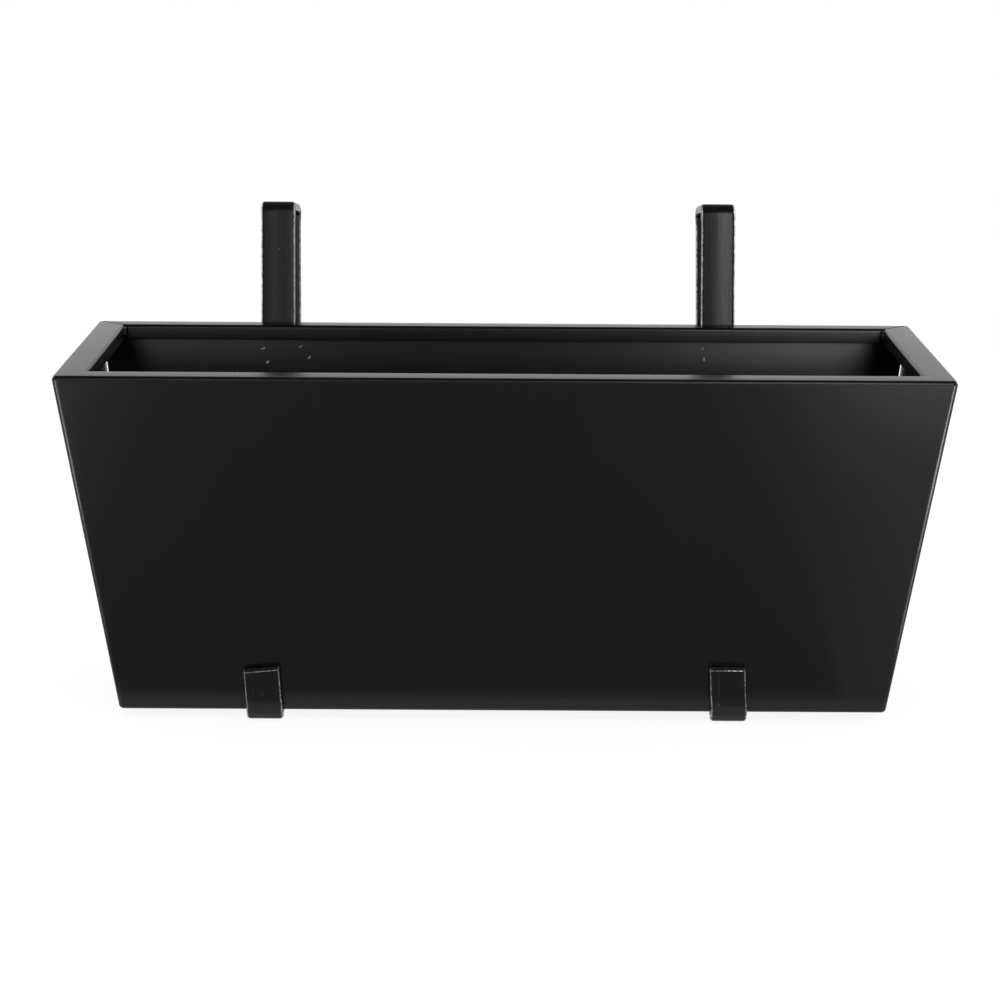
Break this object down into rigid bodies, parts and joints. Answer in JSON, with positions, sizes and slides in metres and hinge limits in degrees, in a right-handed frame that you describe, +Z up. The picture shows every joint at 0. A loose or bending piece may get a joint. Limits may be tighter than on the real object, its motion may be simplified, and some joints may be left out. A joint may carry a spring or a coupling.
{
  "type": "window box planter",
  "caption": "Tapered rectangular sheet-steel window box with a folded rim, resting in bent flat-bar brackets that hook over a railing.",
  "frame": {"origin": "middle of the whole object's footprint, on the plane of the undersides of the two bracket straps", "axes": "+X along the box to its right end seen from the front, +Y from the front to the railing side, +Z up"},
  "size_m": [0.6092, 0.3188, 0.3375],
  "materials": {
    "box_coat": "satin black powder coat",
    "bracket_coat": "satin black powder coat, slightly streaked"
  },
  "bodies": {
    "brackets": {"bracket_left": "bracket_coat", "bracket_right": "bracket_coat"},
    "planter": {"planter_shell": "box_coat", "rear_panel": "box_coat", "floor_panel": "box_coat", "lug_left_outer": "box_coat", "lug_left_inner": "box_coat", "lug_right_outer": "box_coat", "lug_right_inner": "box_coat"}
  },
  "joints": [
    {"name": "planter_lift", "type": "slide", "parent": "brackets", "child": "planter", "axis": [0, 0, 1], "range_m": [0, 0.045]}
  ]
}
